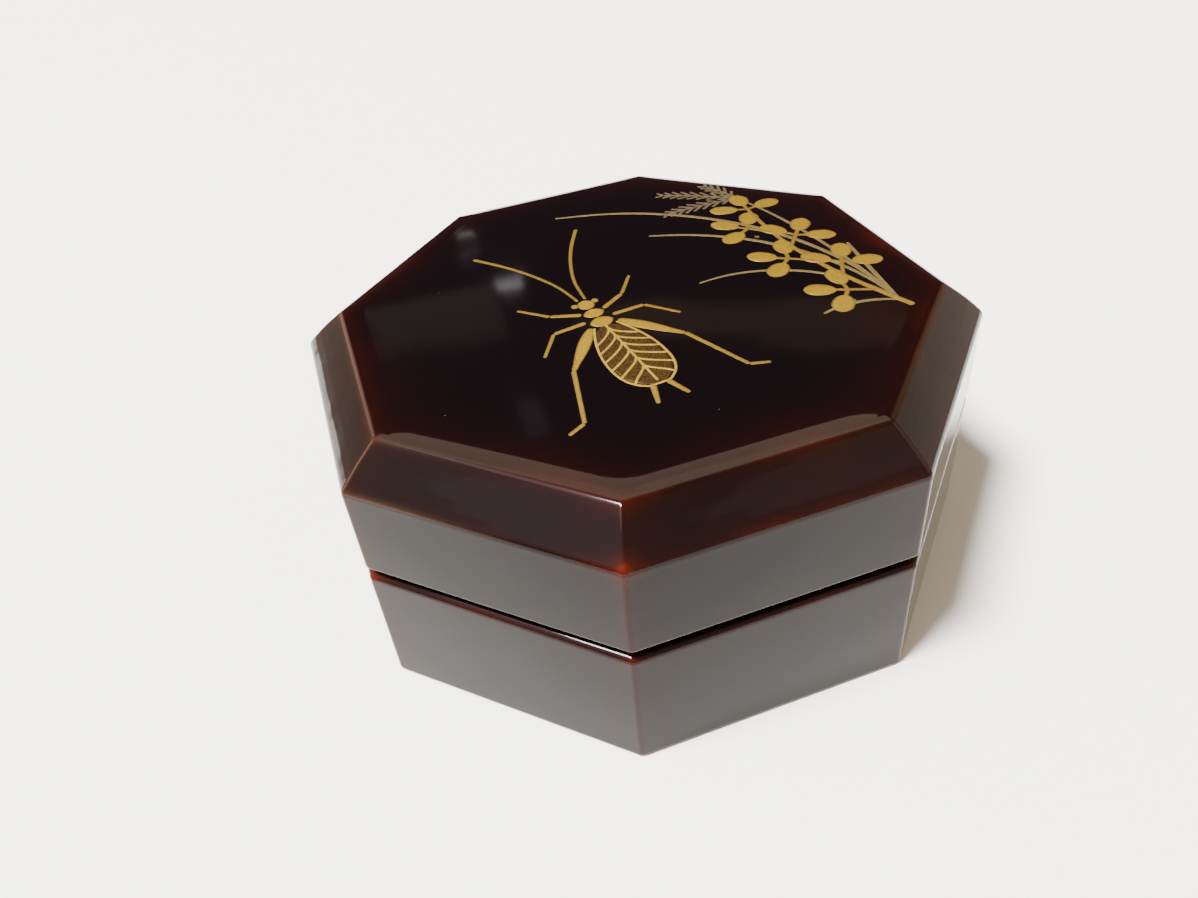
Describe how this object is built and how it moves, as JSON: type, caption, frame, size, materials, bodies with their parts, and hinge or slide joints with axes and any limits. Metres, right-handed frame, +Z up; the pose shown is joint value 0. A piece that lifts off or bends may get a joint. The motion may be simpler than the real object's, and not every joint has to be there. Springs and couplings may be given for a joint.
{
  "type": "incense box",
  "caption": "Octagonal lacquered incense box with a lift-off chamfered lid that drops over a tongue inside the rim, and a sprinkled-gold picture on its crowned top.",
  "frame": {"origin": "centre of the underside, where the box stands", "axes": "+Z up through the middle of the lid; two of the flat sides face -Y (front, the picture reads upright from there) and +Y, two face -X and +X"},
  "size_m": [0.072, 0.072, 0.0317],
  "materials": {
    "box_lacquer": "translucent dark lacquer over a red ground, polished to a gloss",
    "lid_lacquer": "translucent dark lacquer over a red ground, polished to a gloss",
    "sprinkled_gold": "burnished gold powder on lacquer, satin",
    "sprinkled_silver": "tarnished silver powder on lacquer, satin"
  },
  "bodies": {
    "root": {"box": "box_lacquer", "lid": "lid_lacquer"}
  },
  "joints": []
}
